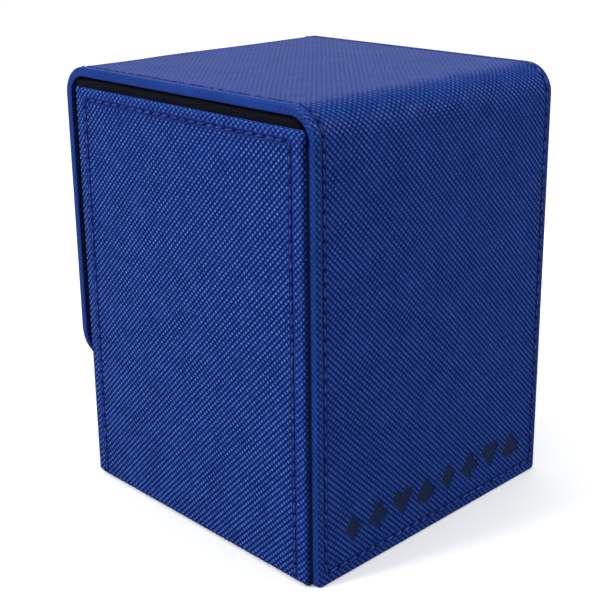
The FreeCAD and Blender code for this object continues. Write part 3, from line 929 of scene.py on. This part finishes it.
def side_panel(side):
    """One side of the tray's leatherette: its panel, and half of the underside."""
    side_name = "right" if side > 0 else "left"
    middle = (WRAP_LOW.y + WRAP_HIGH.y) / 2
    half = (WRAP_HIGH.y - WRAP_LOW.y) / 2
    upright = WRAP_HIGH.z - PANEL_ROUND
    around = upright + PANEL_ROUND * QUARTER
    length = around + WRAP_HIGH.x - PANEL_ROUND
    seam = Seam(half, left=PANEL_SEAM_FRONT, right=PANEL_SEAM_REAR, foot=PANEL_SEAM_TOP,
                corner=PANEL_SEAM_CORNER, end=upright)

    def place(a, t, depth):
        return side_point(side, middle + a, t, depth)

    def edge(t):
        return PANEL_EDGE + (BASE_EDGE - PANEL_EDGE) * smooth_step(t, around - 4, around)

    def flat_run(t):
        return t if side > 0 else 2 * length - t

    def share(a, t):
        underside = 1 - 0.4 * smooth_step(t, around - 1, around + 3)
        return seam_share(seam, a, t, around) * underside

    def relief(a, t):
        rim = np.minimum(half - np.abs(a), t)
        own_waves = waves(a + 31, t + 17 * side)
        uneven = PANEL_UNEVEN * own_waves * inside_edges(rim)
        uneven *= 1 - smooth_step(t, around - 6, around - 2)
        cut = share(a, t) * off_edge(half - np.abs(a), t)
        return cut * GRAIN_DEPTH * grain(-a, flat_run(t)) + seam.relief(a, t) + uneven

    reach = half - EDGE_ROUND
    columns = grid_lines(-reach, reach, GRID, seam.columns())
    rows = grid_lines(EDGE_ROUND, length, GRID, [seam.foot])
    obj = sheet(side_name + "_side_leatherette", half, columns, rows, TRAY_CORNER, edge, place,
                TRAY_LEATHER, skin=PANEL_SKIN, relief=relief,
                flat_uv=lambda a, t: np.stack([-a, flat_run(t)], -1),
                # The seam layer carries the painted shade along the seam
                layers={"grain": share, "seam": seam.shadow})
    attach(obj, "tray")
    panel_thread = stitches(side_name + "_side_thread", seam, place)
    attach(panel_thread, "tray")
    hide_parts(side_name + "_panel_thread")
    return obj


def seam_share(seam, a, t, end):
    """The seam's effect on the grain, fading out past the seam's end."""
    past = smooth_step(t, seam.end, end)
    return seam.cover(a, t) * (1 - past) + past


def front_leatherette():
    """Leatherette on the tray's front wall, with its edges turned in at both sides and the foot."""
    low, high = box_mm("front_facing")
    half = high.x

    def place(a, t, depth):
        return np.stack([a, low.y + depth, low.z + t], axis=-1)

    def relief(a, t):
        rim = np.minimum(half - np.abs(a), t)
        uneven = FRONT_UNEVEN * waves(a + 11, t + 5) * inside_edges(rim)
        return off_edge(rim) * GRAIN_DEPTH * grain(a, t) + uneven

    side = half - EDGE_ROUND
    columns = grid_lines(-side, side, GRID, [])
    rows = grid_lines(EDGE_ROUND, high.z - low.z, GRID, [])
    obj = sheet("front_wall_leatherette", half, columns, rows, TRAY_CORNER,
                lambda t: np.full(np.shape(t), high.y - low.y), place, TRAY_LEATHER,
                skin=COVER_SKIN, relief=relief,
                layers={"grain": lambda a, t: np.ones(np.shape(a))})
    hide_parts("front_facing")
    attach(obj, "tray")


# ---- tray lining ----

LINING_ROLL = 0.16
LINING_GRID = 3.0
SHARP_EDGE = 0.6


def ordered_faces(made):
    """The faces as lists of vertex numbers, in an order that is the same in each run."""
    made.verts.index_update()
    faces = []
    for face in made.faces:
        corners = [vertex.index for vertex in face.verts]
        first = corners.index(min(corners))
        faces.append(corners[first:] + corners[:first])
    return sorted(faces)


def soft_lining(node, name):
    """Soft sheet on a CAD lining's shape: rolled edges, cut into a grid and gently uneven."""
    source = frame["nodes"][node]
    made = bmesh.new()
    made.from_mesh(source.data)
    bmesh.ops.remove_doubles(made, verts=made.verts, dist=0.001 * MM)
    bmesh.ops.dissolve_limit(made, angle_limit=0.02, verts=made.verts, edges=made.edges)
    sharp = [e for e in made.edges if e.is_manifold and e.calc_face_angle(0) > SHARP_EDGE]
    bmesh.ops.bevel(made, geom=sharp, offset=LINING_ROLL * MM, segments=2, profile=0.5,
                    affect="EDGES", clamp_overlap=True)
    low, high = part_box(node)
    for axis in range(3):
        count = int((high[axis] - low[axis]) / (LINING_GRID * MM))
        for k in range(1, count + 1):
            spot = Vector((0, 0, 0))
            spot[axis] = low[axis] + (high[axis] - low[axis]) * k / (count + 1)
            direction = Vector((0, 0, 0))
            direction[axis] = 1
            geometry = made.verts[:] + made.edges[:] + made.faces[:]
            bmesh.ops.bisect_plane(made, geom=geometry, plane_co=spot, plane_no=direction)
    bmesh.ops.recalc_face_normals(made, faces=made.faces)
    made.normal_update()
    for vertex in made.verts:
        x, y, z = vertex.co / MM
        inward = max(0.0, float(waves(np.array(x + y), np.array(z + 0.7 * y))))
        vertex.co -= vertex.normal * LINING_UNEVEN * MM * inward
    mesh = bpy.data.meshes.new(name)
    mesh.from_pydata([vertex.co[:] for vertex in made.verts], [], ordered_faces(made))
    made.free()
    for polygon in mesh.polygons:
        polygon.use_smooth = True
    mesh.set_sharp_from_angle(angle=CREASE_ANGLE)
    mesh.materials.append(PILE)
    obj = bpy.data.objects.new(name, mesh)
    bpy.context.scene.collection.objects.link(obj)
    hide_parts(node)
    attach(obj, "tray")


def build_tray():
    right = side_panel(1)
    side_panel(-1)
    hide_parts("side_wrap")
    front_leatherette()
    for node in ("base_lining", "left_lining", "right_lining", "front_lining", "back_lining"):
        soft_lining(node, "tray_" + node)


def dress_frame():
    """Materials for the CAD nodes that stay."""
    finish = {"board": BOARD, "magnet": NICKEL}
    slots = {part["node"]: part["material_slot"] for part in frame["record"]["subparts"]}
    for node, obj in frame["nodes"].items():
        if slots[node] in finish:
            obj.data.materials.clear()
            obj.data.materials.append(finish[slots[node]])


# ---- studio ----

# Soft lamps, all turned to LAMP_TARGET: place and (width, height) in metres, and watts
LAMPS = {
    "key": ((0.85, -0.30, 0.60), (0.30, 0.30), 9.5),
    "fill": ((-0.55, 0.84, 0.55), (0.35, 0.35), 7.0),
    "behind": ((-1.1, -1.1, 0.62), (1.3, 0.6), 1.7),
}
LAMP_TARGET = Vector((0, 0, 0.05))
FLOOR_REACH = 5.0


def lamps():
    """The soft lamps, and one broad light from above."""
    for name, (place, size, watts) in LAMPS.items():
        lamp = bpy.data.lights.new(name, "AREA")
        lamp.shape = "RECTANGLE"
        lamp.size, lamp.size_y = size
        lamp.energy = watts
        obj = bpy.data.objects.new(name, lamp)
        bpy.context.scene.collection.objects.link(obj)
        obj.location = place
        obj.rotation_euler = (LAMP_TARGET - Vector(place)).to_track_quat("-Z", "Y").to_euler()
    sky = bpy.data.lights.new("sky", "SUN")
    sky.energy = 1.8
    sky.angle = math.radians(60)
    overhead = bpy.data.objects.new("sky", sky)
    bpy.context.scene.collection.objects.link(overhead)


def floor():
    """Plain floor: white to the camera, and grey in the light it throws back on the object."""
    n = Nodes("pale_floor")
    tone = n.noise(n.node("TexCoord", output=3), 3.0, 2.0)
    seen = n.node("LightPath")
    pale = n.mix(tone, (0.94, 0.94, 0.94, 1), (0.96, 0.96, 0.96, 1))
    n.set(Base_Color=n.mix(seen, (0.30, 0.30, 0.32, 1), pale), Roughness=0.95,
          Specular_IOR_Level=0.1, Emission_Color=(1, 1, 1, 1),
          Emission_Strength=n.math("MULTIPLY", seen, 0.15))
    mesh = bpy.data.meshes.new("floor")
    corners = [(-1, -1), (1, -1), (1, 1), (-1, 1)]
    points = [(x * FLOOR_REACH, y * FLOOR_REACH, 0) for x, y in corners]
    mesh.from_pydata(points, [], [(0, 1, 2, 3)])
    mesh.materials.append(n.material)
    obj = bpy.data.objects.new("floor", mesh)
    bpy.context.scene.collection.objects.link(obj)
    obj.location.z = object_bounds()[0][2] - 0.02 * MM
    obj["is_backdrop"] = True


def surround():
    """Pale surround: bright to the camera, and dim in the light it gives."""
    world = bpy.data.worlds.new("studio")
    world.use_nodes = True
    backdrop = world.node_tree.nodes["Background"]
    backdrop.inputs["Color"].default_value = (0.97, 0.98, 1.0, 1)
    sight = world.node_tree.nodes.new("ShaderNodeLightPath")
    strength = world.node_tree.nodes.new("ShaderNodeMapRange")
    strength.inputs["To Min"].default_value = 0.12
    strength.inputs["To Max"].default_value = 1.0
    world.node_tree.links.new(sight.outputs["Is Camera Ray"], strength.inputs["Value"])
    world.node_tree.links.new(strength.outputs[0], backdrop.inputs["Strength"])
    bpy.context.scene.world = world


def camera():
    """The view: past the corner between the right side panel and the back panel."""
    place = Vector((196.87, 201.42, 146.12)) * MM
    heading = math.radians(225) + 0.010
    pitch = -0.293
    roll = -0.009
    forward = Vector((math.cos(heading) * math.cos(pitch), math.sin(heading) * math.cos(pitch),
                      math.sin(pitch)))
    level = forward.cross(Vector((0, 0, 1))).normalized()
    over = level.cross(forward)
    right = level * math.cos(roll) + over * math.sin(roll)
    up = over * math.cos(roll) - level * math.sin(roll)
    data = bpy.data.cameras.new("camera")
    data.sensor_width = 36.0
    data.lens = 71.12
    data.shift_x = -0.0094
    data.shift_y = -0.1073
    data.clip_start = 0.01
    obj = bpy.data.objects.new("camera", data)
    bpy.context.scene.collection.objects.link(obj)
    turn = Matrix((right, up, -forward)).transposed()
    obj.matrix_world = Matrix.Translation(place) @ turn.to_4x4()
    bpy.context.scene.camera = obj


build_cover()
cover_lining()
hinge_strip("rear_hinge_strip", "rear_fold_core", True)
hinge_strip("front_hinge_strip", "front_fold_core", False)
build_tray()
dress_frame()
floor()
surround()
lamps()
camera()
bpy.context.scene.view_settings.view_transform = "Standard"
